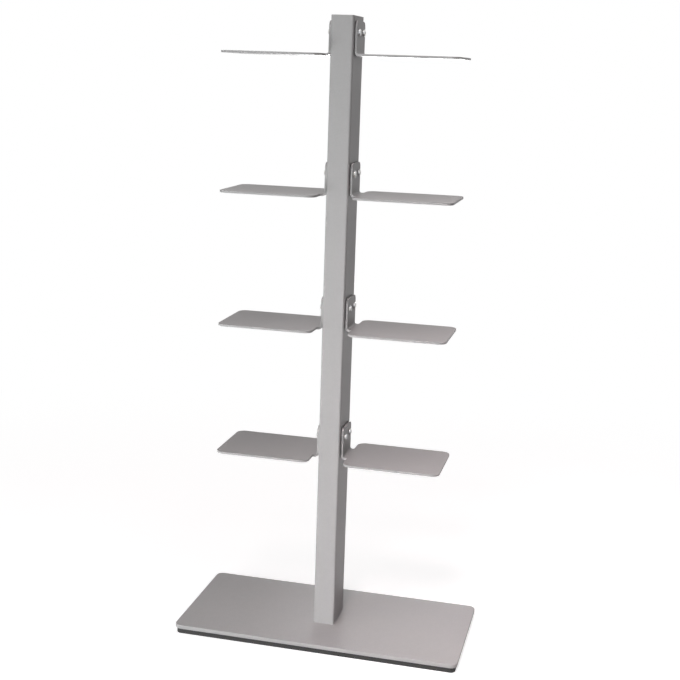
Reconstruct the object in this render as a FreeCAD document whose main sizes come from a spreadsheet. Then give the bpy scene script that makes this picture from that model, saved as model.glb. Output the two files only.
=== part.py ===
import FreeCAD, Part
import os
import Sketcher
from FreeCAD import Placement, Rotation, Vector

# Spine bookshelf: a slim steel post on a floor plate, with folded trays screwed to both sides of the post.
# X is the width, Y the depth with the front at -Y, and Z is up. The origin is on the floor, under the post.

# Driving sizes in millimetres: alias, value, meaning.
SIZES = [
    ("plate_length", 425, "floor plate along X"),
    ("plate_depth", 200, "floor plate along Y"),
    ("plate_thickness", 6, "floor plate sheet"),
    ("plate_corner", 10, "floor plate corner radius in plan"),
    ("plate_edge", 0.8, "rounding of the floor plate's long edges"),
    ("mat_thickness", 8, "black mat under the floor plate"),
    ("mat_inset", 2.5, "how far the mat stays behind the plate's edge"),
    ("mat_corner", 7.5, "mat corner radius in plan"),
    ("mat_window_margin", 4, "mat cut back around the screw heads"),
    ("post_width", 32, "post tube along X"),
    ("post_depth", 60, "post tube along Y"),
    ("post_wall", 2, "post tube wall"),
    ("post_corner", 3, "post tube outer corner radius"),
    ("post_inner_corner", 1, "post tube inner corner radius"),
    ("post_above_leaf", 7, "from the top tray's leaf to the top of the post cap"),
    ("cap_head", 2, "visible thickness of the post cap"),
    ("cap_edge", 0.6, "rounding of the cap's upper edge"),
    ("cap_skirt", 12, "how far the cap reaches into the post"),
    ("cap_wall", 2, "wall of the cap's skirt"),
    ("slip_gap", 0.1, "gap around the cap's skirt and the foot in the post"),
    ("foot_height", 20, "threaded block in the post's lower end"),
    ("base_thread", 6, "thread of the base screws"),
    ("base_screw_length", 18, "base screw with its head"),
    ("base_screw_head", 12, "base screw head diameter"),
    ("base_screw_rim", 0.4, "straight rim of the base screw's head"),
    ("base_screw_recess", 0.2, "base screw head sunk below the plate's underside"),
    ("base_key", 4, "base screw key size"),
    ("base_key_depth", 2.4, "base screw socket depth"),
    ("base_pitch_x", 14, "base screw spacing along X"),
    ("base_pitch_y", 38, "base screw spacing along Y"),
    ("tray_levels", 4, "trays on each side"),
    ("tray_first", 276, "lowest tray's face above the floor"),
    ("tray_pitch", 191, "from one tray's face to the next"),
    ("tray_reach", 150, "from the post's side to the tray's free end"),
    ("tray_depth", 112, "tray along Y"),
    ("tray_sheet", 3, "tray sheet"),
    ("tray_corner", 12, "tray corner radius in plan"),
    ("tray_neck", 3, "flat neck between the bend and the tray's full depth"),
    ("neck_corner", 2, "inner corner radius beside the neck"),
    ("bend_radius", 3, "inner radius of the bend"),
    ("leaf_beside_screws", 10, "leaf on each side of the screws"),
    ("leaf_above_screws", 15, "leaf above the screws"),
    ("leaf_corner", 8, "leaf corner radius"),
    ("tray_thread", 5, "thread of the tray screws"),
    ("tray_screw_spacing", 28, "tray screw spacing along Y"),
    ("tray_screw_rise", 29, "tray screws above the tray's face"),
    ("tray_screw_shank", 12, "tray screw length under its head"),
    ("tray_screw_head", 9.5, "tray screw head diameter"),
    ("tray_screw_dome", 2.75, "tray screw head height"),
    ("tray_screw_round", 2.2, "rounding of the tray screw's head"),
    ("tray_key", 3, "tray screw key size"),
    ("tray_key_depth", 1.6, "tray screw socket depth"),
    ("nut_flange", 0.8, "rivet nut flange thickness"),
    ("nut_flange_size", 10, "rivet nut flange diameter"),
    ("nut_barrel", 7, "rivet nut barrel diameter"),
    ("nut_bulge", 9.4, "rivet nut bulge diameter, behind the post's wall"),
    ("nut_bulge_length", 3, "length of the bulge"),
    ("nut_tail", 4.5, "barrel left beyond the bulge"),
    ("thread_gap", 0.1, "play of a thread in its nut, on the diameter"),
    ("barrel_gap", 0.1, "play of a rivet nut in the post's wall, on the diameter"),
    ("hole_play", 0.6, "play of a screw in a plain hole, on the diameter"),
]

# Places and sizes that several pieces share, as expressions on the sheet.
PLATE_TOP = "(sizes.mat_thickness + sizes.plate_thickness)"
TOP_TRAY = "(sizes.tray_first + (sizes.tray_levels - 1) * sizes.tray_pitch)"
LEAF_HEIGHT = "(sizes.tray_screw_rise + sizes.leaf_above_screws)"
LEAF_WIDTH = "(sizes.tray_screw_spacing + 2 * sizes.leaf_beside_screws)"
POST_TOP = f"({TOP_TRAY} + {LEAF_HEIGHT} + sizes.post_above_leaf - sizes.cap_head)"
BORE_X = "(sizes.post_width - 2 * sizes.post_wall)"
BORE_Y = "(sizes.post_depth - 2 * sizes.post_wall)"
PLUG_X = f"({BORE_X} - 2 * sizes.slip_gap)"
PLUG_Y = f"({BORE_Y} - 2 * sizes.slip_gap)"
LEAF_SEAT = "(sizes.post_width / 2 + sizes.nut_flange)"
LEAF_FACE = f"({LEAF_SEAT} + sizes.tray_sheet)"
TRAY_END = "(sizes.post_width / 2 + sizes.tray_reach)"
NECK_END = f"({LEAF_FACE} + sizes.bend_radius + sizes.tray_neck)"
FIRST_SCREWS = "(sizes.tray_first + sizes.tray_screw_rise)"
# A 90 degree sink that clears the head's cone by the hole's play, at the depth of its recess and rim.
SINK = "(sizes.base_screw_head + sizes.hole_play + 2 * (sizes.base_screw_rim + sizes.base_screw_recess))"

X_AXIS, Y_AXIS, Z_AXIS = Vector(1, 0, 0), Vector(0, 1, 0), Vector(0, 0, 1)
TOLERANCE = 0.001

doc = FreeCAD.newDocument("spine_bookshelf")
sizes = doc.addObject("Spreadsheet::Sheet", "sizes")


def fill_sheet():
    for row, (alias, number, meaning) in enumerate(SIZES, start=1):
        sizes.set(f"A{row}", alias)
        sizes.set(f"B{row}", str(number))
        sizes.set(f"C{row}", meaning)
        sizes.setAlias(f"B{row}", alias)
    doc.recompute()


def value(expression):
    """The number that an expression on the sheet gives."""
    return float(sizes.evalExpression(expression.replace("sizes.", "")))


# Bodies and sketches

def new_body(label, x="0", y="0", z="0", turned=False):
    """A body whose frame stands at (x, y, z), or half a turn about Z away from there when turned."""
    body = doc.addObject("PartDesign::Body", label)
    body.Label = label
    if turned:
        body.Placement = Placement(Vector(), Rotation(Z_AXIS, 180))
        x, y = f"-({x})", f"-({y})"
    body.setExpression("Placement.Base.x", x)
    body.setExpression("Placement.Base.y", y)
    body.setExpression("Placement.Base.z", z)
    return body


def origin_feature(body, role):
    return next(feature for feature in body.Origin.OriginFeatures if feature.Role == role)


def new_sketch(body, name, role, raised="0"):
    """A sketch on one of the body's own planes, moved along the plane's normal by raised."""
    sketch = body.newObject("Sketcher::SketchObject", f"{body.Label}_{name}")
    sketch.AttachmentSupport = [(origin_feature(body, role), "")]
    sketch.MapMode = "FlatFace"
    sketch.setExpression("AttachmentOffset.Base.z", raised)
    return sketch


def pin_point(sketch, geometry, point, x, y):
    """Ties a point of the sketch to the place (x, y), given as expressions."""
    for kind, place in (("DistanceX", x), ("DistanceY", y)):
        index = sketch.addConstraint(Sketcher.Constraint(kind, -1, 1, geometry, point, value(place)))
        sketch.setExpression(f"Constraints[{index}]", place)


def add_outline(sketch, corners):
    """A closed outline of straight lines through corners, each a pair of expressions."""
    places = [Vector(value(x), value(y), 0) for x, y in corners]
    places.append(places[0])
    lines = [
        sketch.addGeometry(Part.LineSegment(start, end), False)
        for start, end in zip(places, places[1:])
    ]
    for line, following, (x, y) in zip(lines, lines[1:] + lines[:1], corners):
        sketch.addConstraint(Sketcher.Constraint("Coincident", line, 2, following, 1))
        pin_point(sketch, line, 1, x, y)


def add_rectangle(sketch, width, height):
    """A rectangle centred on the sketch's origin."""
    x, y = f"{width} / 2", f"{height} / 2"
    add_outline(sketch, [(f"-{x}", f"-{y}"), (x, f"-{y}"), (x, y), (f"-{x}", y)])


def add_hexagon(sketch, across):
    """A hexagon about the sketch's origin, as wide across its flats as the key."""
    flat, rise, point = f"{across} / 2", f"{across} / 2 * tan(30 deg)", f"{across} / 2 / cos(30 deg)"
    corners = [(flat, rise), ("0", point), (f"-{flat}", rise), (f"-{flat}", f"-{rise}")]
    add_outline(sketch, corners + [("0", f"-{point}"), (flat, f"-{rise}")])


def add_circle(sketch, diameter, x, y):
    centre = Vector(value(x), value(y), 0)
    circle = sketch.addGeometry(Part.Circle(centre, Z_AXIS, value(diameter) / 2), False)
    pin_point(sketch, circle, 3, x, y)
    index = sketch.addConstraint(Sketcher.Constraint("Diameter", circle, value(diameter)))
    sketch.setExpression(f"Constraints[{index}]", diameter)


def add_base_screw_circles(sketch, diameter):
    for x in ("-sizes.base_pitch_x / 2", "sizes.base_pitch_x / 2"):
        for y in ("-sizes.base_pitch_y / 2", "sizes.base_pitch_y / 2"):
            add_circle(sketch, diameter, x, y)


def add_tray_screw_circles(sketch, diameter, height):
    for x in ("-sizes.tray_screw_spacing / 2", "sizes.tray_screw_spacing / 2"):
        add_circle(sketch, diameter, x, height)


# Features

def pad(body, sketch, length, symmetric=False):
    feature = body.newObject("PartDesign::Pad", f"{sketch.Name}_pad")
    feature.Profile = sketch
    feature.SideType = "Symmetric" if symmetric else "One side"
    feature.setExpression("Length", length)
    doc.recompute()


def check_cut(feature, volume_before):
    if feature.Shape.Volume > volume_before - TOLERANCE:
        raise RuntimeError(f"{feature.Label} cuts nothing")


def pocket(body, sketch, length=None, along_normal=False):
    """Cuts the sketch out by length, against its normal unless along_normal, or both ways through all."""
    volume_before = body.Shape.Volume
    feature = body.newObject("PartDesign::Pocket", f"{sketch.Name}_pocket")
    feature.Profile = sketch
    if length is None:
        feature.SideType = "Symmetric"
        feature.Type = "ThroughAll"
    else:
        feature.Reversed = along_normal
        feature.setExpression("Length", length)
    doc.recompute()
    check_cut(feature, volume_before)
    return feature


def revolve(body, corners, role):
    """Turns an outline in the body's XZ plane about one of its axes."""
    sketch = new_sketch(body, "profile", "XZ_Plane")
    add_outline(sketch, corners)
    feature = body.newObject("PartDesign::Revolution", f"{body.Label}_turned")
    feature.Profile = sketch
    feature.ReferenceAxis = (origin_feature(body, role), [""])
    feature.Angle = 360
    doc.recompute()


def round_edges(body, name, radius, wanted):
    """Rounds the edges of the body for which wanted(edge) is true."""
    last = body.Tip
    edges = [f"Edge{i}" for i, edge in enumerate(last.Shape.Edges, start=1) if wanted(edge)]
    if not edges:
        raise RuntimeError(f"{body.Label} has no edges for {name}")
    feature = body.newObject("PartDesign::Fillet", f"{body.Label}_{name}")
    feature.Base = (last, edges)
    feature.setExpression("Radius", radius)
    doc.recompute()


def repeat(body, name, role, spacing, count, originals=()):
    """Repeats the originals, or the whole body when there are none, in a row along one of its axes."""
    pattern = body.newObject("PartDesign::LinearPattern", f"{body.Label}_{name}")
    if originals:
        pattern.Originals = list(originals)
    else:
        pattern.TransformMode = "Whole shape"
    pattern.Direction = (origin_feature(body, role), [""])
    pattern.Mode = "Spacing"
    pattern.setExpression("Offset", spacing)
    pattern.setExpression("Occurrences", count)
    body.Tip = pattern
    doc.recompute()


# Tests that pick edges

def is_straight(edge, axis):
    """Whether the edge is straight and parallel to the axis."""
    if edge.Curve.TypeId != "Part::GeomLine":
        return False
    first, last = (vertex.Point for vertex in edge.Vertexes)
    return (last - first).cross(axis).Length < TOLERANCE


def lies_at(edge, letter, place):
    """Whether every vertex of the edge has that coordinate."""
    return all(abs(getattr(vertex, letter) - place) < TOLERANCE for vertex in edge.Vertexes)


def upright(half_x, half_y):
    """Picks upright edges at the corners of a rectangle centred on the body's axis."""
    def wanted(edge):
        corner = edge.Vertexes[0]
        near = abs(abs(corner.X) - half_x) < TOLERANCE and abs(abs(corner.Y) - half_y) < TOLERANCE
        return near and is_straight(edge, Z_AXIS)
    return wanted


# Floor plate, mat and foot

def make_base_plate():
    length, depth = "sizes.plate_length", "sizes.plate_depth"
    body = new_body("base_plate", z="sizes.mat_thickness")
    outline = new_sketch(body, "outline", "XY_Plane")
    add_rectangle(outline, length, depth)
    pad(body, outline, "sizes.plate_thickness")
    round_edges(body, "corners", "sizes.plate_corner", upright(value(length) / 2, value(depth) / 2))
    faces = (0, value("sizes.plate_thickness"))
    round_edges(body, "edges", "sizes.plate_edge", lambda edge: any(lies_at(edge, "Z", z) for z in faces))
    drill_countersunk_holes(body)
    return body


def drill_countersunk_holes(body):
    """Screw holes through the plate, countersunk from beneath."""
    centres = new_sketch(body, "holes", "XY_Plane")
    add_base_screw_circles(centres, "sizes.base_thread + sizes.hole_play")
    doc.recompute()
    volume_before = body.Shape.Volume
    holes = body.newObject("PartDesign::Hole", "base_plate_sinks")
    holes.Profile = centres
    holes.Reversed = True
    holes.DepthType = "ThroughAll"
    holes.setExpression("Diameter", "sizes.base_thread + sizes.hole_play")
    holes.HoleCutType = "Countersink"
    holes.HoleCutCustomValues = True
    holes.HoleCutCountersinkAngle = 90
    holes.setExpression("HoleCutDiameter", SINK)
    doc.recompute()
    check_cut(holes, volume_before)


def make_base_mat():
    """The mat keeps clear of the screw heads through one window."""
    length = "(sizes.plate_length - 2 * sizes.mat_inset)"
    depth = "(sizes.plate_depth - 2 * sizes.mat_inset)"
    body = new_body("base_mat")
    outline = new_sketch(body, "outline", "XY_Plane")
    add_rectangle(outline, length, depth)
    pad(body, outline, "sizes.mat_thickness")
    round_edges(body, "corners", "sizes.mat_corner", upright(value(length) / 2, value(depth) / 2))
    window = new_sketch(body, "window", "XY_Plane")
    around = f"{SINK} + 2 * sizes.mat_window_margin"
    add_rectangle(window, f"(sizes.base_pitch_x + {around})", f"(sizes.base_pitch_y + {around})")
    pocket(body, window)
    return body


def make_post_foot():
    body = new_body("post_foot", z=PLATE_TOP)
    outline = new_sketch(body, "outline", "XY_Plane")
    add_rectangle(outline, PLUG_X, PLUG_Y)
    pad(body, outline, "sizes.foot_height")
    round_edges(body, "corners", "sizes.post_inner_corner", upright(value(PLUG_X) / 2, value(PLUG_Y) / 2))
    threads = new_sketch(body, "threads", "XY_Plane")
    add_base_screw_circles(threads, "sizes.base_thread + sizes.thread_gap")
    pocket(body, threads)
    return body


def make_base_screws():
    """Four countersunk screws, heads down, through the plate into the foot."""
    body = new_body(
        "base_screws",
        x="-sizes.base_pitch_x / 2",
        y="-sizes.base_pitch_y / 2",
        z="sizes.mat_thickness + sizes.base_screw_recess",
    )
    head, shank = "sizes.base_screw_head / 2", "sizes.base_thread / 2"
    corners = [
        ("0", "0"),
        (head, "0"),
        (head, "sizes.base_screw_rim"),
        (shank, f"sizes.base_screw_rim + {head} - {shank}"),
        (shank, "sizes.base_screw_length"),
        ("0", "sizes.base_screw_length"),
    ]
    revolve(body, corners, "Z_Axis")
    socket = new_sketch(body, "socket", "XY_Plane")
    add_hexagon(socket, "sizes.base_key")
    pocket(body, socket, "sizes.base_key_depth", along_normal=True)
    repeat(body, "pair", "X_Axis", "sizes.base_pitch_x", "2")
    repeat(body, "pairs", "Y_Axis", "sizes.base_pitch_y", "2")
    return body


# Post and cap

def make_post():
    width, depth = "sizes.post_width", "sizes.post_depth"
    body = new_body("post", z=PLATE_TOP)
    outline = new_sketch(body, "outline", "XY_Plane")
    add_rectangle(outline, width, depth)
    pad(body, outline, f"{POST_TOP} - {PLATE_TOP}")
    round_edges(body, "corners", "sizes.post_corner", upright(value(width) / 2, value(depth) / 2))
    bore = new_sketch(body, "bore", "XY_Plane")
    add_rectangle(bore, BORE_X, BORE_Y)
    pocket(body, bore)
    round_edges(body, "bore_corners", "sizes.post_inner_corner", upright(value(BORE_X) / 2, value(BORE_Y) / 2))
    holes = new_sketch(body, "nut_holes", "YZ_Plane")
    add_tray_screw_circles(holes, "sizes.nut_barrel + sizes.barrel_gap", f"{FIRST_SCREWS} - {PLATE_TOP}")
    drilled = pocket(body, holes)
    repeat(body, "nut_rows", "Z_Axis", "sizes.tray_pitch", "sizes.tray_levels", originals=[drilled])
    return body


def make_post_cap():
    """A head flush with the post's outside, and a hollow skirt that reaches down inside the post."""
    width, depth = "sizes.post_width", "sizes.post_depth"
    body = new_body("post_cap", z=POST_TOP)
    head = new_sketch(body, "head", "XY_Plane")
    add_rectangle(head, width, depth)
    pad(body, head, "sizes.cap_head")
    round_edges(body, "corners", "sizes.post_corner", upright(value(width) / 2, value(depth) / 2))
    top = value("sizes.cap_head")
    round_edges(body, "edges", "sizes.cap_edge", lambda edge: lies_at(edge, "Z", top))
    skirt = new_sketch(body, "skirt", "XY_Plane", "-sizes.cap_skirt")
    add_rectangle(skirt, PLUG_X, PLUG_Y)
    pad(body, skirt, "sizes.cap_skirt")
    round_edges(body, "skirt_corners", "sizes.post_inner_corner", upright(value(PLUG_X) / 2, value(PLUG_Y) / 2))
    hollow = new_sketch(body, "hollow", "XY_Plane", "-sizes.cap_skirt")
    add_rectangle(hollow, f"({PLUG_X} - 2 * sizes.cap_wall)", f"({PLUG_Y} - 2 * sizes.cap_wall)")
    pocket(body, hollow, "sizes.cap_skirt", along_normal=True)
    return body


# Trays: the frame of each is on the post's axis, at the height of the tray's upper face

def make_tray(label, level, turned):
    body = new_body(label, z=f"sizes.tray_first + {level} * sizes.tray_pitch", turned=turned)
    bend_sheet(body)
    trim_leaf(body)
    round_tray(body)
    holes = new_sketch(body, "holes", "YZ_Plane")
    add_tray_screw_circles(holes, "sizes.tray_thread + sizes.hole_play", "sizes.tray_screw_rise")
    pocket(body, holes)
    return body


def bend_sheet(body):
    """The sheet seen from the front, an L with a rounded bend, over the tray's whole depth."""
    side = new_sketch(body, "side", "XZ_Plane")
    corners = [
        (LEAF_SEAT, "-sizes.tray_sheet"),
        (TRAY_END, "-sizes.tray_sheet"),
        (TRAY_END, "0"),
        (LEAF_FACE, "0"),
        (LEAF_FACE, LEAF_HEIGHT),
        (LEAF_SEAT, LEAF_HEIGHT),
    ]
    add_outline(side, corners)
    pad(body, side, "sizes.tray_depth", symmetric=True)
    bends = [
        ("bend_inside", "sizes.bend_radius", value(LEAF_FACE), 0),
        ("bend_outside", "sizes.bend_radius + sizes.tray_sheet", value(LEAF_SEAT), -value("sizes.tray_sheet")),
    ]
    for name, radius, x, z in bends:
        round_edges(body, name, radius, lambda edge: lies_at(edge, "X", x) and lies_at(edge, "Z", z))


def trim_leaf(body):
    """Cuts the sheet away on both sides of the leaf, the bend and the neck."""
    trim = new_sketch(body, "trim", "XY_Plane", LEAF_HEIGHT)
    for side in ("-", ""):
        inner, outer = f"{side}{LEAF_WIDTH} / 2", f"{side}sizes.tray_depth"
        add_outline(trim, [("0", inner), (NECK_END, inner), (NECK_END, outer), ("0", outer)])
    pocket(body, trim, f"{LEAF_HEIGHT} + 2 * sizes.tray_sheet")


def round_tray(body):
    half_leaf, half_depth = value(LEAF_WIDTH) / 2, value("sizes.tray_depth") / 2
    leaf_top = value(LEAF_HEIGHT)
    for x in (NECK_END, TRAY_END):
        round_edges(body, f"corners_{round(value(x))}", "sizes.tray_corner", upright(value(x), half_depth))
    round_edges(body, "neck_corners", "sizes.neck_corner", upright(value(NECK_END), half_leaf))
    round_edges(
        body,
        "leaf_corners",
        "sizes.leaf_corner",
        lambda edge: is_straight(edge, X_AXIS) and lies_at(edge, "Z", leaf_top),
    )


# Fasteners of the trays, a pair for each tray

def new_fastener_body(label, x, level, turned):
    """The frame is at the pair's first fastener, x away from the post's axis."""
    return new_body(
        label,
        x,
        "-sizes.tray_screw_spacing / 2",
        f"{FIRST_SCREWS} + {level} * sizes.tray_pitch",
        turned,
    )


def make_tray_screws(label, level, turned):
    """Button-head screws: the frame is under the head of the first, its shank along -X."""
    body = new_fastener_body(label, LEAF_FACE, level, turned)
    head, shank = "sizes.tray_screw_head / 2", "sizes.tray_thread / 2"
    dome = "sizes.tray_screw_dome"
    corners = [
        ("-sizes.tray_screw_shank", "0"),
        (dome, "0"),
        (dome, head),
        ("0", head),
        ("0", shank),
        ("-sizes.tray_screw_shank", shank),
    ]
    revolve(body, corners, "X_Axis")
    head_top = value(dome)
    round_edges(body, "dome", "sizes.tray_screw_round", lambda edge: lies_at(edge, "X", head_top))
    socket = new_sketch(body, "socket", "YZ_Plane", dome)
    add_hexagon(socket, "sizes.tray_key")
    pocket(body, socket, "sizes.tray_key_depth")
    repeat(body, "pair", "Y_Axis", "sizes.tray_screw_spacing", "2")
    return body


def make_rivet_nuts(label, level, turned):
    """Set rivet nuts: the frame is on the post's side, the barrel along -X."""
    body = new_fastener_body(label, "sizes.post_width / 2", level, turned)
    bore = "(sizes.tray_thread + sizes.thread_gap) / 2"
    flange, barrel, bulge = "sizes.nut_flange_size / 2", "sizes.nut_barrel / 2", "sizes.nut_bulge / 2"
    bulge_end = "-sizes.post_wall - sizes.nut_bulge_length"
    corners = [
        ("sizes.nut_flange", bore),
        ("sizes.nut_flange", flange),
        ("0", flange),
        ("0", barrel),
        ("-sizes.post_wall", barrel),
        ("-sizes.post_wall", bulge),
        (bulge_end, bulge),
        (bulge_end, barrel),
        (f"{bulge_end} - sizes.nut_tail", barrel),
        (f"{bulge_end} - sizes.nut_tail", bore),
    ]
    revolve(body, corners, "X_Axis")
    repeat(body, "pair", "Y_Axis", "sizes.tray_screw_spacing", "2")
    return body


def make_all():
    pieces = [
        make_base_plate(),
        make_base_mat(),
        make_post_foot(),
        make_base_screws(),
        make_post(),
        make_post_cap(),
    ]
    for side, turned in (("left", True), ("right", False)):
        for level in range(round(value("sizes.tray_levels"))):
            place = f"{side}_{level + 1}"
            pieces.append(make_tray(f"shelf_{place}", level, turned))
            pieces.append(make_tray_screws(f"shelf_screws_{place}", level, turned))
            pieces.append(make_rivet_nuts(f"rivet_nuts_{place}", level, turned))
    return pieces


def check(pieces):
    for item in doc.Objects:
        if "Invalid" in item.State or "Error" in item.State:
            raise RuntimeError(f"{item.Label} failed: {item.State}")
    for piece in pieces:
        if piece.Shape.isNull() or not piece.Shape.isValid():
            raise RuntimeError(f"{piece.Label} has no valid shape")


def main():
    fill_sheet()
    pieces = make_all()
    doc.recompute()
    check(pieces)
    os.makedirs("parts", exist_ok=True)
    for piece in pieces:
        piece.Shape.exportStep(f"parts/{piece.Label}.step")
        print(f"{piece.Label}: {len(piece.Shape.Solids)} solid(s), {piece.Shape.Volume:.0f} mm3")


main()
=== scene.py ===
import math
from contextlib import contextmanager

import bmesh
import bpy
from mathutils import Matrix, Vector


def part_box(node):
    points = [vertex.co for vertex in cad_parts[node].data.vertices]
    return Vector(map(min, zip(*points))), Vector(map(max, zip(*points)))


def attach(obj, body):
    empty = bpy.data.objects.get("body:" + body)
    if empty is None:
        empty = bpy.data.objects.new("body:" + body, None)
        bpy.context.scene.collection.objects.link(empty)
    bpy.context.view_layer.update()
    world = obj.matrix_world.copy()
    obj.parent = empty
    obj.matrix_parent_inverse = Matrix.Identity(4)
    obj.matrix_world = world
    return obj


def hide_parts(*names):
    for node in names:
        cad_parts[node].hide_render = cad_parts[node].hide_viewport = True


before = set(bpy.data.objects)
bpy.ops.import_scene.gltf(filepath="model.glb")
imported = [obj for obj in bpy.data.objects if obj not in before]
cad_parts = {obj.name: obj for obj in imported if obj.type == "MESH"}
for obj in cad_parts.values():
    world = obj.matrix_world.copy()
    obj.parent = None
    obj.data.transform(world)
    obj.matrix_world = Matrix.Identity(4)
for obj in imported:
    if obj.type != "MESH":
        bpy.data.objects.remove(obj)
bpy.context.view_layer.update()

# A spine bookshelf: a slim post on a floor plate, with folded trays on both sides. Lengths are in metres.
MM = 0.001
X, Z = 0, 2
SIDES = (("right", Matrix.Identity(4)), ("left", Matrix.Rotation(math.pi, 4, "Z")))
LEVELS = sum(name.startswith("shelf_right_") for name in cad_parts)

PLATE_CORNER = 10 * MM
PLATE_EDGE = 0.8 * MM
MAT_CORNER = 7.5 * MM
MAT_EDGE = 0.5 * MM
MAT_WINDOW = Vector((35.8, 59.8)) * MM

POST_WALL = 2 * MM
POST_CORNER = 3 * MM
JOINT_EDGE = 0.25 * MM
CAP_HEAD = 2 * MM
CAP_EDGE = 0.6 * MM
CAP_SLIP = 0.1 * MM

TRAY_SHEET = 3 * MM
TRAY_EDGE = 0.45 * MM
TRAY_CORNER = 12 * MM
BEND_RADIUS = 3 * MM
NECK = 3 * MM
NECK_CORNER = 2 * MM
LEAF_WIDTH = 48 * MM
LEAF_CORNER = 8 * MM

SCREW_SPACING = 28 * MM
SCREW_RISE = 29 * MM
SCREW_THREAD = 5 * MM
SCREW_HEAD = 9.5 * MM
SCREW_DOME = 2.75 * MM
SCREW_ROUND = 2.2 * MM
SCREW_SHANK = 12 * MM
SCREW_PITCH = 0.8 * MM
SCREW_KEY = 3 * MM
SCREW_KEY_DEPTH = 1.6 * MM
NUT_HOLE = 7.1 * MM
SCREW_HOLE = 5.6 * MM

BASE_PITCH = Vector((14, 38)) * MM
BASE_THREAD = 6 * MM
BASE_HOLE = 6.6 * MM
BASE_HEAD = 12 * MM
BASE_RIM = 0.4 * MM
BASE_SINK = 13.8 * MM
BASE_SCREW_LENGTH = 18 * MM
BASE_SCREW_PITCH = 1 * MM
BASE_KEY = 4 * MM
BASE_KEY_DEPTH = 2.4 * MM

# A thread's depth as a share of its pitch, and a socket's chamfer as a share of its key.
THREAD_DEPTH = 0.6
SOCKET_CHAMFER = 0.12
# Each screw is turned by this many radians more than the one before it.
SCREW_TURN = 0.7
# How far a cutter starts outside the surface.
CUT_MARGIN = 1 * MM

ROUND_STEPS = 40
HEXAGON = 6
SMOOTH_ANGLE = math.radians(32)
SHARP_ANGLE = math.radians(40)

# What still counts as the same place, as a parallel edge and as a face square to an axis.
SAME_PLACE = 0.02 * MM
PARALLEL = 0.999
SQUARE_ON = 0.99

# The camera, for a picture of 680 x 680 pixels.
PICTURE_SIDE = 680
SENSOR = 36
CAMERA_PLACE = Vector((0.3980, -1.6407, 0.8257))
CAMERA_YAW = math.radians(13.502)
CAMERA_DOWN = math.radians(12.685)
CAMERA_ROLL = math.radians(1.889)
CAMERA_FOCAL_PIXELS = 1193.2

# The finishes: mean greys and roughnesses, and the colours that are blended in.
SILVER_TONE = 0.41
SILVER_SHINE = 0.40
SILVER_METAL = 0.02
SILVER_GLOSS = 0.12
DUST_COLOUR = (0.47, 0.46, 0.44, 1)
DUST_SHARE = 0.12
RUBBER_TONE = 0.030
RUBBER_SHINE = 0.78
ZINC_BLUE = (0.60, 0.62, 0.66, 1)
ZINC_YELLOW = (0.66, 0.64, 0.58, 1)
ZINC_SCUFF = (0.42, 0.42, 0.42, 1)
ZINC_SHINE = 0.24
STEEL_TONE = 0.36
STEEL_SHINE = 0.38

# How steeply a face looks up, and how far an edge turns, where their effects start and end.
LOOKING_UP = (0.6, 0.95)
EDGE_TURN = (0.80, 0.995)
EDGE_SAMPLES = 8

DOME_START = 0.35
DOME_HORIZON = 0.03
DOME_TOP = 0.57
DOME_COLOUR = (1, 0.91, 0.92, 1)
FLOOR_SIDE = 12
FLOOR_DROP = 0.3 * MM
FLOOR_PAINT = (0.5, 0.5, 0.5, 1)
FLOOR_GLOW = 0.75
FLOOR_FADE = (0.5, 1.5)

WHITE = (1, 1, 1)
COOL = (0.96, 1, 1)
WARM = (1, 0.93, 0.93)
PINK = (1, 0.85, 0.86)
WIDE = math.pi
NARROW = math.radians(40)

# The softboxes: where each stands, what it faces, width, height, power, tint and spread.
SOFTBOXES = {
    "key": ((-0.9, -2.7, 0.5), (0, 0, 0.45), 1.4, 1.0, 28.6, COOL, WIDE),
    "low_fill": ((-0.8, -0.85, 0.17), (0, 0, 0.02), 0.5, 0.3, 6.9, WHITE, WIDE),
    "back_fill": ((-0.4, 2.6, 0.17), (0, 0, 0.45), 0.7, 0.25, 25, WHITE, WIDE),
    "top_light": ((0.1, -0.5, 2.1), (0.05, 0, 0.6), 0.8, 0.8, 4.9, WARM, WIDE),
    "plate_light": ((0.1, -1.25, 1.65), (0.5, -0.05, 0), 0.4, 0.4, 1.97, PINK, NARROW),
}


# Modelling tools

def only(piece):
    """Makes a piece the only one selected, and the active one."""
    bpy.ops.object.select_all(action="DESELECT")
    piece.select_set(True)
    bpy.context.view_layer.objects.active = piece


def settle(name):
    """Names a new primitive, and moves its place and size into its mesh."""
    piece = bpy.context.object
    piece.name = piece.data.name = name
    bpy.ops.object.transform_apply(location=True, rotation=True, scale=True)
    return piece


def add_block(name, low, high):
    bpy.ops.object.select_all(action="DESELECT")
    bpy.ops.mesh.primitive_cube_add(size=1, location=(low + high) / 2, scale=high - low)
    return settle(name)


def add_rod(name, start, end, radius, sides=ROUND_STEPS, end_radius=None):
    """A round bar from start to end, or a cone when the end's radius differs."""
    bpy.ops.object.select_all(action="DESELECT")
    run = end - start
    bpy.ops.mesh.primitive_cone_add(
        vertices=sides,
        radius1=radius,
        radius2=radius if end_radius is None else end_radius,
        depth=run.length,
        location=(start + end) / 2,
        rotation=run.to_track_quat("Z", "Y").to_euler(),
    )
    return settle(name)


@contextmanager
def shaping(piece):
    """Edit mode on one piece, with nothing of it selected."""
    only(piece)
    bpy.ops.object.mode_set(mode="EDIT")
    bpy.ops.mesh.select_all(action="DESELECT")
    yield
    bpy.ops.object.mode_set(mode="OBJECT")


def pick_edges(piece, wanted):
    """Selects the edges that wanted(start, end) accepts, and nothing else."""
    bpy.ops.mesh.select_mode(type="EDGE")
    bpy.ops.mesh.select_all(action="DESELECT")
    mesh = bmesh.from_edit_mesh(piece.data)
    for edge in mesh.edges:
        edge.select_set(wanted(edge.verts[0].co, edge.verts[1].co))
    bmesh.update_edit_mesh(piece.data)


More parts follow.
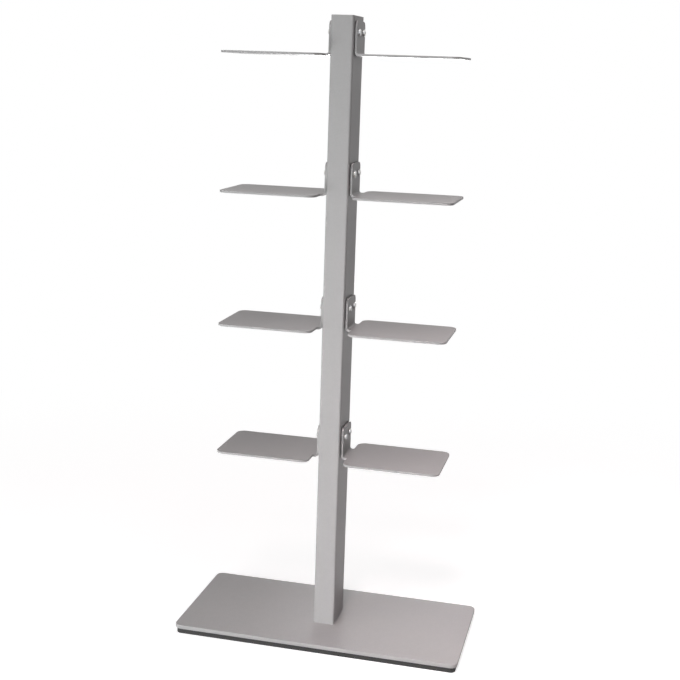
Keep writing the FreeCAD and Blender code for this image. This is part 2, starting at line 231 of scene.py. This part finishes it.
def pick_faces(piece, wanted):
    """Selects the faces that wanted(centre, normal) accepts, and nothing else."""
    bpy.ops.mesh.select_mode(type="FACE")
    bpy.ops.mesh.select_all(action="DESELECT")
    mesh = bmesh.from_edit_mesh(piece.data)
    for face in mesh.faces:
        face.select_set(wanted(face.calc_center_median(), face.normal))
    bmesh.update_edit_mesh(piece.data)


def along(axis):
    """Accepts the edges that are parallel to an axis."""
    def wanted(start, end):
        step = end - start
        return abs(step[axis]) > PARALLEL * step.length
    return wanted


def near(first, second):
    return abs(first - second) < SAME_PLACE


def extrude(*step):
    bpy.ops.mesh.extrude_region_move(TRANSFORM_OT_translate={"value": step})


def widen(factor, centre):
    """Scales what is picked about a centre."""
    bpy.ops.transform.resize(value=(factor, factor, factor), center_override=centre)


def round_picked(radius, steps):
    bpy.ops.mesh.bevel(offset=radius, segments=steps, affect="EDGES")


def modify(piece, kind, **settings):
    """Adds a modifier and applies it."""
    only(piece)
    modifier = piece.modifiers.new(kind.lower(), kind)
    for name, setting in settings.items():
        setattr(modifier, name, setting)
    bpy.ops.object.modifier_apply(modifier=modifier.name)


def cut(piece, *cutters):
    for cutter in cutters:
        modify(piece, "BOOLEAN", operation="DIFFERENCE", solver="EXACT", object=cutter)
        bpy.data.objects.remove(cutter)


def break_edges(piece, width, steps=3):
    """Rounds every sharp edge a little."""
    modify(
        piece,
        "BEVEL",
        width=width,
        segments=steps,
        limit_method="ANGLE",
        angle_limit=SHARP_ANGLE,
    )


def copied(piece, name, place):
    """A copy with its own mesh, moved and turned by a matrix."""
    twin = piece.copy()
    twin.data = piece.data.copy()
    twin.name = twin.data.name = name
    twin.data.transform(place)
    bpy.context.scene.collection.objects.link(twin)
    return twin


def joined(name, pieces):
    only(pieces[0])
    for piece in pieces:
        piece.select_set(True)
    bpy.ops.object.join()
    pieces[0].name = pieces[0].data.name = name
    return pieces[0]


def finish(piece, material, node):
    """Smooth rounds beside flat faces, a material, and the node that the piece stands for."""
    only(piece)
    bpy.ops.object.shade_smooth_by_angle(angle=SMOOTH_ANGLE)
    modify(piece, "WEIGHTED_NORMAL", keep_sharp=True)
    piece.data.materials.clear()
    piece.data.materials.append(material)
    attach(piece, "root")
    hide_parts(node)


# Shader maths

class Socket:
    """The output of a node. Sums and products of it add Math nodes."""

    def __init__(self, tree, socket):
        self.tree = tree
        self.socket = socket

    def math(self, operation, *values):
        return self.tree.add("ShaderNodeMath", {"operation": operation}, dict(enumerate(values)))

    def __add__(self, other):
        return self.math("ADD", self, other)

    def __sub__(self, other):
        return self.math("SUBTRACT", self, other)

    def __rsub__(self, other):
        return self.math("SUBTRACT", other, self)

    def __mul__(self, other):
        return self.math("MULTIPLY", self, other)

    __radd__ = __add__
    __rmul__ = __mul__


class Tree:
    """The nodes of one material or world."""

    def __init__(self, owner):
        owner.use_nodes = True
        self.nodes = owner.node_tree.nodes
        self.links = owner.node_tree.links
        self.nodes.clear()

    def add(self, kind, settings=None, inputs=None, output=0):
        """A node with its settings, then the values or links of its sockets. Returns one of its outputs."""
        node = self.nodes.new(kind)
        for name, setting in (settings or {}).items():
            setattr(node, name, setting)
        for name, given in (inputs or {}).items():
            if isinstance(given, Socket):
                self.links.new(given.socket, node.inputs[name])
            else:
                node.inputs[name].default_value = given
        return Socket(self, node.outputs[output] if node.outputs else None)

    def place(self):
        return self.add("ShaderNodeTexCoord", output="Object")

    def stretched(self, place, *factors):
        return self.add("ShaderNodeMapping", {"vector_type": "POINT"}, {"Vector": place, "Scale": factors})

    def noise(self, place, size, detail, roughness=0.5):
        """Soft patches about as wide as size, from 0 to 1."""
        inputs = {"Vector": place, "Scale": 1 / size, "Detail": detail, "Roughness": roughness}
        return self.add("ShaderNodeTexNoise", inputs=inputs)

    def cells(self, place, size):
        """A random grey for each cell, from 0 to 1."""
        inputs = {"Vector": place, "Scale": 1 / size}
        colour = self.add("ShaderNodeTexVoronoi", inputs=inputs, output="Color")
        return self.add("ShaderNodeSeparateColor", inputs={"Color": colour})

    def ramp(self, value, low, high, start=0.0, end=1.0):
        """Goes softly from start to end as the value goes from low to high."""
        settings = {"interpolation_type": "SMOOTHSTEP"}
        inputs = {"Value": value, "From Min": low, "From Max": high, "To Min": start, "To Max": end}
        return self.add("ShaderNodeMapRange", settings, inputs)

    def blend(self, share, first, second):
        """A colour between two colours."""
        settings = {"data_type": "RGBA", "blend_type": "MIX"}
        return self.add("ShaderNodeMix", settings, {"Factor": share, 6: first, 7: second}, output=2)

    def grey(self, value):
        return self.add("ShaderNodeCombineColor", inputs={"Red": value, "Green": value, "Blue": value})

    def facing_up(self):
        normal = self.add("ShaderNodeNewGeometry", output="Normal")
        height = self.add("ShaderNodeSeparateXYZ", inputs={"Vector": normal}, output="Z")
        return self.ramp(height, *LOOKING_UP)

    def near_edge(self, radius):
        """1 on an edge and 0 further than the radius from it."""
        settings = {"samples": EDGE_SAMPLES}
        softened = self.add("ShaderNodeBevel", settings, {"Radius": radius})
        normal = self.add("ShaderNodeNewGeometry", output="Normal")
        settings = {"operation": "DOT_PRODUCT"}
        same = self.add("ShaderNodeVectorMath", settings, {0: softened, 1: normal}, output="Value")
        return self.ramp(same, *EDGE_TURN, start=1.0, end=0.0)

    def bump(self, height, depth, under=None):
        """Relief as deep as depth in metres, where the height goes from 0 to 1."""
        inputs = {"Height": height, "Distance": depth}
        if under is not None:
            inputs["Normal"] = under
        return self.add("ShaderNodeBump", inputs=inputs)

    def end(self, shader, kind="ShaderNodeOutputMaterial"):
        self.add(kind, inputs={"Surface": shader})


def new_finish(name):
    material = bpy.data.materials.new(name)
    return material, Tree(material)


# Finishes

def make_silver_coat():
    """Silver powder coat: fine metal grain, a slight orange peel, dust on top, and edges painted lighter,
    partly as edge wear and partly as a painted highlight.
    """
    material, tree = new_finish("silver_coat")
    place = tree.place()
    clouds = tree.noise(place, 160 * MM, detail=3)
    mottle = tree.noise(place, 9 * MM, detail=3)
    grain = tree.cells(place, 0.45 * MM)
    edge = tree.near_edge(1.2 * MM)
    rubbed = tree.noise(tree.stretched(place, 1, 0.06, 1), 1.6 * MM, detail=3, roughness=0.6)
    rubs = tree.ramp(rubbed, 0.60, 0.72) * tree.facing_up()
    settled = tree.noise(place, 45 * MM, detail=6, roughness=0.65)
    dust = tree.ramp(settled, 0.42, 0.70) * tree.facing_up()

    tone = SILVER_TONE + 0.03 * (clouds - 0.5) + 0.022 * (mottle - 0.5) + 0.05 * (grain - 0.5)
    # The edge term paints every edge lighter: partly edge wear, partly a painted highlight along the edges.
    tone = tone + 0.025 * edge + 0.012 * rubs
    colour = tree.blend(dust * DUST_SHARE, tree.grey(tone), DUST_COLOUR)
    shine = SILVER_SHINE + 0.05 * (clouds - 0.5) + 0.05 * (mottle - 0.5)
    shine = shine + 0.04 * dust - 0.05 * edge + 0.03 * rubs

    peel = tree.bump(tree.noise(place, 1.4 * MM, detail=2), 0.012 * MM)
    relief = tree.bump(grain, 0.002 * MM, peel)
    shader = tree.add(
        "ShaderNodeBsdfPrincipled",
        inputs={
            "Base Color": colour,
            "Metallic": SILVER_METAL,
            "Roughness": shine,
            "Specular IOR Level": SILVER_GLOSS,
            "Normal": relief,
        },
    )
    tree.end(shader)
    return material


def make_black_rubber():
    material, tree = new_finish("black_rubber")
    place = tree.place()
    clouds = tree.noise(place, 60 * MM, detail=4)
    grain = tree.noise(place, 0.7 * MM, detail=3, roughness=0.6)
    lint = tree.ramp(tree.noise(place, 3 * MM, detail=5, roughness=0.7), 0.62, 0.75)
    edge = tree.near_edge(0.8 * MM)
    tone = RUBBER_TONE + 0.012 * (clouds - 0.5) + 0.015 * (grain - 0.5) + 0.02 * lint + 0.02 * edge
    shine = RUBBER_SHINE + 0.12 * (clouds - 0.5) + 0.1 * (grain - 0.5)
    relief = tree.bump(grain, 0.08 * MM)
    shader = tree.add(
        "ShaderNodeBsdfPrincipled",
        inputs={"Base Color": tree.grey(tone), "Roughness": shine, "Normal": relief},
    )
    tree.end(shader)
    return material


def make_zinc_steel():
    """Bright zinc plate, with a faint blue and yellow cast."""
    material, tree = new_finish("zinc_steel")
    place = tree.place()
    cast = tree.noise(place, 4 * MM, detail=3)
    scuffs = tree.noise(tree.stretched(place, 1, 1, 0.12), 0.25 * MM, detail=3, roughness=0.6)
    colour = tree.blend(tree.ramp(cast, 0.3, 0.7), ZINC_BLUE, ZINC_YELLOW)
    colour = tree.blend(tree.ramp(scuffs, 0.5, 0.8) * 0.3, colour, ZINC_SCUFF)
    shine = ZINC_SHINE + 0.16 * (scuffs - 0.3)
    shader = tree.add(
        "ShaderNodeBsdfPrincipled",
        inputs={
            "Base Color": colour,
            "Metallic": 1.0,
            "Roughness": shine,
            "Normal": tree.bump(scuffs, 0.01 * MM),
        },
    )
    tree.end(shader)
    return material


def make_bare_steel():
    """Milled steel with the cutter's lines and a film of oil."""
    material, tree = new_finish("bare_steel")
    place = tree.place()
    lines = tree.noise(tree.stretched(place, 0.03, 1, 1), 0.3 * MM, detail=3, roughness=0.6)
    film = tree.noise(place, 9 * MM, detail=4)
    tone = STEEL_TONE + 0.12 * (lines - 0.5) - 0.1 * tree.ramp(film, 0.45, 0.7)
    shader = tree.add(
        "ShaderNodeBsdfPrincipled",
        inputs={
            "Base Color": tree.grey(tone),
            "Metallic": 1.0,
            "Roughness": STEEL_SHINE + 0.2 * (lines - 0.5) - 0.1 * film,
            "Normal": tree.bump(lines, 0.02 * MM),
        },
    )
    tree.end(shader)
    return material


# Pieces

def make_base_plate(material):
    low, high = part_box("base_plate")
    plate = add_block("floor_plate", low, high)
    with shaping(plate):
        pick_edges(plate, along(Z))
        round_picked(PLATE_CORNER, steps=12)
        pick_edges(plate, lambda start, end: near(start.z, end.z))
        round_picked(PLATE_EDGE, steps=4)
    for place in base_screw_places(low.z):
        cut(plate, add_countersink(place, high.z - low.z))
    finish(plate, material, "base_plate")


def base_screw_places(height):
    return [
        Vector((across * BASE_PITCH.x / 2, back * BASE_PITCH.y / 2, height))
        for across in (-1, 1)
        for back in (-1, 1)
    ]


def add_countersink(place, thickness):
    """The void of a hole whose 90 degree sink opens downwards at a place."""
    up = Vector((0, 0, 1))
    throat = place + (BASE_SINK - BASE_HOLE) / 2 * up
    void = add_rod("sink", throat, place + 2 * thickness * up, BASE_HOLE / 2)
    with shaping(void):
        pick_faces(void, lambda centre, normal: normal.z < -SQUARE_ON)
        mouth = place - PLATE_EDGE * up
        extrude(*(mouth - throat))
        widen((BASE_SINK / 2 + PLATE_EDGE) / (BASE_HOLE / 2), mouth)
    return void


def make_base_mat(material):
    low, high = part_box("base_mat")
    mat = add_block("floor_mat", low, high)
    with shaping(mat):
        pick_edges(mat, along(Z))
        round_picked(MAT_CORNER, steps=10)
    reach = Vector((MAT_WINDOW.x / 2, MAT_WINDOW.y / 2, 2 * high.z))
    cut(mat, add_block("window", -reach, reach))
    break_edges(mat, MAT_EDGE)
    finish(mat, material, "base_mat")


def make_post(material):
    low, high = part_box("post")
    post = add_block("post_tube", low, high)
    with shaping(post):
        pick_edges(post, along(Z))
        round_picked(POST_CORNER, steps=8)
        pick_faces(post, lambda centre, normal: abs(normal.z) > SQUARE_ON)
        bpy.ops.mesh.delete(type="FACE")
    modify(post, "SOLIDIFY", thickness=POST_WALL, offset=-1, use_even_offset=True)
    for level in range(1, LEVELS + 1):
        for place in tray_screw_places(level):
            reach = Vector((high.x + POST_WALL, 0, 0))
            cut(post, add_rod("nut_hole", place - reach, place + reach, NUT_HOLE / 2))
    break_edges(post, JOINT_EDGE, steps=2)
    finish(post, material, "post")


def tray_screw_places(level):
    """The two places on the post's axis that the tray screws of a level point at."""
    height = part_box(f"shelf_right_{level}")[0].z + TRAY_SHEET + SCREW_RISE
    return [Vector((0, side * SCREW_SPACING / 2, height)) for side in (-1, 1)]


def make_post_cap(material):
    low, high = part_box("post_cap")
    half = Vector(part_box("post")[1][:2])
    joint = high.z - CAP_HEAD
    cap = add_block("post_end_cap", Vector((-half.x, -half.y, joint)), Vector((half.x, half.y, high.z)))
    with shaping(cap):
        pick_edges(cap, along(Z))
        round_picked(POST_CORNER, steps=8)
        pick_edges(cap, lambda start, end: near(start.z, high.z) and near(end.z, high.z))
        round_picked(CAP_EDGE, steps=4)
        pick_edges(cap, lambda start, end: near(start.z, joint) and near(end.z, joint))
        round_picked(JOINT_EDGE, steps=2)
        pick_faces(cap, lambda centre, normal: near(centre.z, joint) and normal.z < -SQUARE_ON)
        bpy.ops.mesh.inset(thickness=POST_WALL + CAP_SLIP - JOINT_EDGE)
        extrude(0, 0, low.z - joint)
        bpy.ops.mesh.inset(thickness=POST_WALL)
        extrude(0, 0, joint - low.z)
    finish(cap, material, "post_cap")


def make_trays(material):
    """All trays are copies of the lowest one on the right."""
    first = make_tray()
    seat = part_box("shelf_right_1")[0].z
    for side, half_turn in SIDES:
        for level in range(1, LEVELS + 1):
            node = f"shelf_{side}_{level}"
            rise = Matrix.Translation((0, 0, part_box(node)[0].z - seat))
            tray = copied(first, f"tray_{side}_{level}", rise @ half_turn)
            finish(tray, material, node)
    bpy.data.objects.remove(first)


def make_tray():
    """A slab whose neck is drawn out, turned up round the bend and raised as the leaf."""
    low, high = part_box("shelf_right_1")
    face = low.z + TRAY_SHEET
    bend_end = low.x + TRAY_SHEET + BEND_RADIUS
    neck_end = bend_end + NECK
    half_leaf = LEAF_WIDTH / 2

    def neck_corner(start, end):
        return along(Z)(start, end) and near(start.x, neck_end) and near(abs(start.y), half_leaf)

    tray = add_block("tray", Vector((neck_end, low.y, low.z)), Vector((high.x, high.y, face)))
    with shaping(tray):
        for side in (-1, 1):
            bpy.ops.mesh.select_all(action="SELECT")
            bpy.ops.mesh.bisect(plane_co=(0, side * half_leaf, 0), plane_no=(0, 1, 0))
        pick_faces(tray, lambda centre, normal: normal.x < -SQUARE_ON and abs(centre.y) < half_leaf)
        extrude(-NECK, 0, 0)
        axle = (bend_end, 0, face + BEND_RADIUS)
        bpy.ops.mesh.spin(steps=10, angle=-math.pi / 2, center=axle, axis=(0, 1, 0))
        extrude(0, 0, high.z - face - BEND_RADIUS)
        pick_edges(tray, lambda start, end: along(Z)(start, end) and near(abs(start.y), high.y))
        round_picked(TRAY_CORNER, steps=10)
        pick_edges(tray, neck_corner)
        round_picked(NECK_CORNER, steps=4)
        pick_edges(tray, lambda start, end: along(X)(start, end) and near(start.z, high.z))
        round_picked(LEAF_CORNER, steps=8)
    for place in tray_screw_places(1):
        reach = Vector((high.x, 0, 0))
        cut(tray, add_rod("screw_hole", place, place + reach, SCREW_HOLE / 2))
    break_edges(tray, TRAY_EDGE)
    return tray


def draw_thread(start, along_shank, pitch, crest):
    """Draws the picked round face out from start into a shank with a groove for each turn."""
    turns = round(along_shank.length / pitch)
    step = along_shank / (2 * turns + 1)
    root = crest - THREAD_DEPTH * pitch
    place = start
    for turn in range(turns):
        for radius, following in ((crest, root), (root, crest)):
            place = place + step
            extrude(*step)
            widen(following / radius, place)
    place = place + step
    extrude(*step)
    widen(root / crest, place)


def cut_socket(screw, top, inward, key, depth):
    """A hexagonal socket with a chamfered mouth, from the middle of the head's top inwards."""
    corner = key / 2 / math.cos(math.pi / HEXAGON)
    socket = add_rod("socket", top - inward * CUT_MARGIN, top + inward * depth, corner, HEXAGON)
    lead = SOCKET_CHAMFER * key
    step = inward * lead
    mouth = add_rod("mouth", top - step, top + step, corner + lead, end_radius=corner - lead)
    cut(screw, socket, mouth)


def make_tray_screws(material):
    """Button-head screws, a pair for each tray, each turned differently."""
    first = make_button_screw()
    under_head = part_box("shelf_right_1")[0].x + TRAY_SHEET
    turned = 0
    for side, half_turn in SIDES:
        for level in range(1, LEVELS + 1):
            pair = []
            for place in tray_screw_places(level):
                turned += SCREW_TURN
                seat = Matrix.Translation((under_head, place.y, place.z))
                pair.append(copied(first, "screw", half_turn @ seat @ Matrix.Rotation(turned, 4, "X")))
            node = f"shelf_screws_{side}_{level}"
            finish(joined(f"screws_{side}_{level}", pair), material, node)
    bpy.data.objects.remove(first)


def make_button_screw():
    """Its head is on the origin and faces +X."""
    outward = Vector((1, 0, 0))
    top = SCREW_DOME * outward
    screw = add_rod("button_screw", Vector(), top, SCREW_HEAD / 2)
    with shaping(screw):
        pick_faces(screw, lambda centre, normal: normal.x < -SQUARE_ON)
        bpy.ops.mesh.inset(thickness=(SCREW_HEAD - SCREW_THREAD) / 2)
        draw_thread(Vector(), -SCREW_SHANK * outward, SCREW_PITCH, SCREW_THREAD / 2)
        pick_edges(screw, lambda start, end: near(start.x, top.x) and near(end.x, top.x))
        round_picked(SCREW_ROUND, steps=8)
    cut_socket(screw, top, -outward, SCREW_KEY, SCREW_KEY_DEPTH)
    return screw


def make_base_screws(material):
    """Countersunk screws with their heads down, each turned differently."""
    first = make_countersunk_screw()
    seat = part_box("base_screws")[0].z
    screws = [
        copied(first, "screw", Matrix.Translation(place) @ Matrix.Rotation(number * SCREW_TURN, 4, "Z"))
        for number, place in enumerate(base_screw_places(seat))
    ]
    finish(joined("plate_screws", screws), material, "base_screws")
    bpy.data.objects.remove(first)


def make_countersunk_screw():
    """The top of its head is on the origin and faces down."""
    up = Vector((0, 0, 1))
    rim = BASE_RIM * up
    neck = rim + (BASE_HEAD - BASE_THREAD) / 2 * up
    screw = add_rod("countersunk_screw", Vector(), rim, BASE_HEAD / 2)
    with shaping(screw):
        pick_faces(screw, lambda centre, normal: normal.z > SQUARE_ON)
        extrude(*(neck - rim))
        widen(BASE_THREAD / BASE_HEAD, neck)
        draw_thread(neck, BASE_SCREW_LENGTH * up - neck, BASE_SCREW_PITCH, BASE_THREAD / 2)
    cut_socket(screw, Vector(), up, BASE_KEY, BASE_KEY_DEPTH)
    return screw


def dress_nodes(zinc, bare):
    """The nodes whose own shape stays get their finish."""
    finishes = {"post_foot": bare}
    finishes.update({name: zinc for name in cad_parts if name.startswith("rivet_nuts_")})
    for node, material in finishes.items():
        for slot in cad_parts[node].material_slots:
            slot.material = material


# Studio

def make_camera():
    data = bpy.data.cameras.new("camera")
    data.sensor_width = SENSOR
    data.lens = CAMERA_FOCAL_PIXELS / PICTURE_SIDE * SENSOR
    camera = bpy.data.objects.new("camera", data)
    turn = Matrix.Rotation(CAMERA_YAW, 4, "Z")
    tilt = Matrix.Rotation(math.pi / 2 - CAMERA_DOWN, 4, "X")
    roll = Matrix.Rotation(CAMERA_ROLL, 4, "Z")
    camera.matrix_world = Matrix.Translation(CAMERA_PLACE) @ turn @ tilt @ roll
    bpy.context.scene.collection.objects.link(camera)
    bpy.context.scene.camera = camera


def add_softbox(name, place, aim, width, height, power, tint, spread):
    data = bpy.data.lights.new(name, "AREA")
    data.shape = "RECTANGLE"
    data.size, data.size_y = width, height
    data.energy = power
    data.color = tint
    data.spread = spread
    lamp = bpy.data.objects.new(name, data)
    lamp.location = place
    lamp.rotation_mode = "QUATERNION"
    lamp.rotation_quaternion = (Vector(aim) - Vector(place)).to_track_quat("-Z", "Y")
    lamp.visible_camera = False
    bpy.context.scene.collection.objects.link(lamp)


def seen_directly(tree):
    """1 for rays that show the surface itself: to the camera, or in metal or glass."""
    camera, mirror, glass = [
        tree.add("ShaderNodeLightPath", output=name)
        for name in ("Is Camera Ray", "Is Glossy Ray", "Is Transmission Ray")
    ]
    seen = camera.math("MAXIMUM", camera, mirror)
    return seen.math("MAXIMUM", seen, glass)


def make_world():
    """A white backdrop all round, and a soft dome that lights from above."""
    world = bpy.data.worlds.new("studio")
    bpy.context.scene.world = world
    tree = Tree(world)
    seen = seen_directly(tree)
    direction = tree.add("ShaderNodeTexCoord", output="Generated")
    height = tree.add("ShaderNodeSeparateXYZ", inputs={"Vector": direction}, output="Z")
    dome = tree.ramp(height, DOME_START, 1, DOME_HORIZON, DOME_TOP)
    colour = tree.blend(seen, DOME_COLOUR, (*WHITE, 1))
    sky = tree.add("ShaderNodeBackground", inputs={"Color": colour, "Strength": dome + seen * (1 - dome)})
    tree.end(sky, "ShaderNodeOutputWorld")


def make_floor():
    """A pale floor that keeps the shadow near the part and is plain white further away."""
    bpy.ops.object.select_all(action="DESELECT")
    bpy.ops.mesh.primitive_plane_add(size=FLOOR_SIDE, location=(0, 0, -FLOOR_DROP))
    floor = settle("studio_floor")
    material, tree = new_finish("studio_floor")
    seen = seen_directly(tree)
    distance = tree.add(
        "ShaderNodeVectorMath",
        {"operation": "LENGTH"},
        {0: tree.place()},
        output="Value",
    )
    paint = tree.add("ShaderNodeBsdfDiffuse", inputs={"Color": FLOOR_PAINT})
    glow = tree.add("ShaderNodeEmission", inputs={"Strength": seen * FLOOR_GLOW})
    close = tree.add("ShaderNodeAddShader", inputs={0: paint, 1: glow})
    white = tree.add("ShaderNodeEmission")
    far = tree.ramp(distance, *FLOOR_FADE) * seen
    top = tree.add("ShaderNodeMixShader", inputs={"Fac": far, 1: close, 2: white})
    beneath = tree.add("ShaderNodeNewGeometry", output="Backfacing")
    clear = tree.add("ShaderNodeBsdfTransparent")
    tree.end(tree.add("ShaderNodeMixShader", inputs={"Fac": beneath, 1: top, 2: clear}))
    floor.data.materials.append(material)


def make_studio():
    make_camera()
    make_world()
    make_floor()
    for name, facts in SOFTBOXES.items():
        add_softbox(name, *facts)


def make_part():
    silver = make_silver_coat()
    make_base_plate(silver)
    make_base_mat(make_black_rubber())
    make_post(silver)
    make_post_cap(silver)
    make_trays(silver)
    zinc = make_zinc_steel()
    make_tray_screws(zinc)
    make_base_screws(zinc)
    dress_nodes(zinc, make_bare_steel())


bpy.context.scene.view_settings.view_transform = "Standard"
make_part()
make_studio()
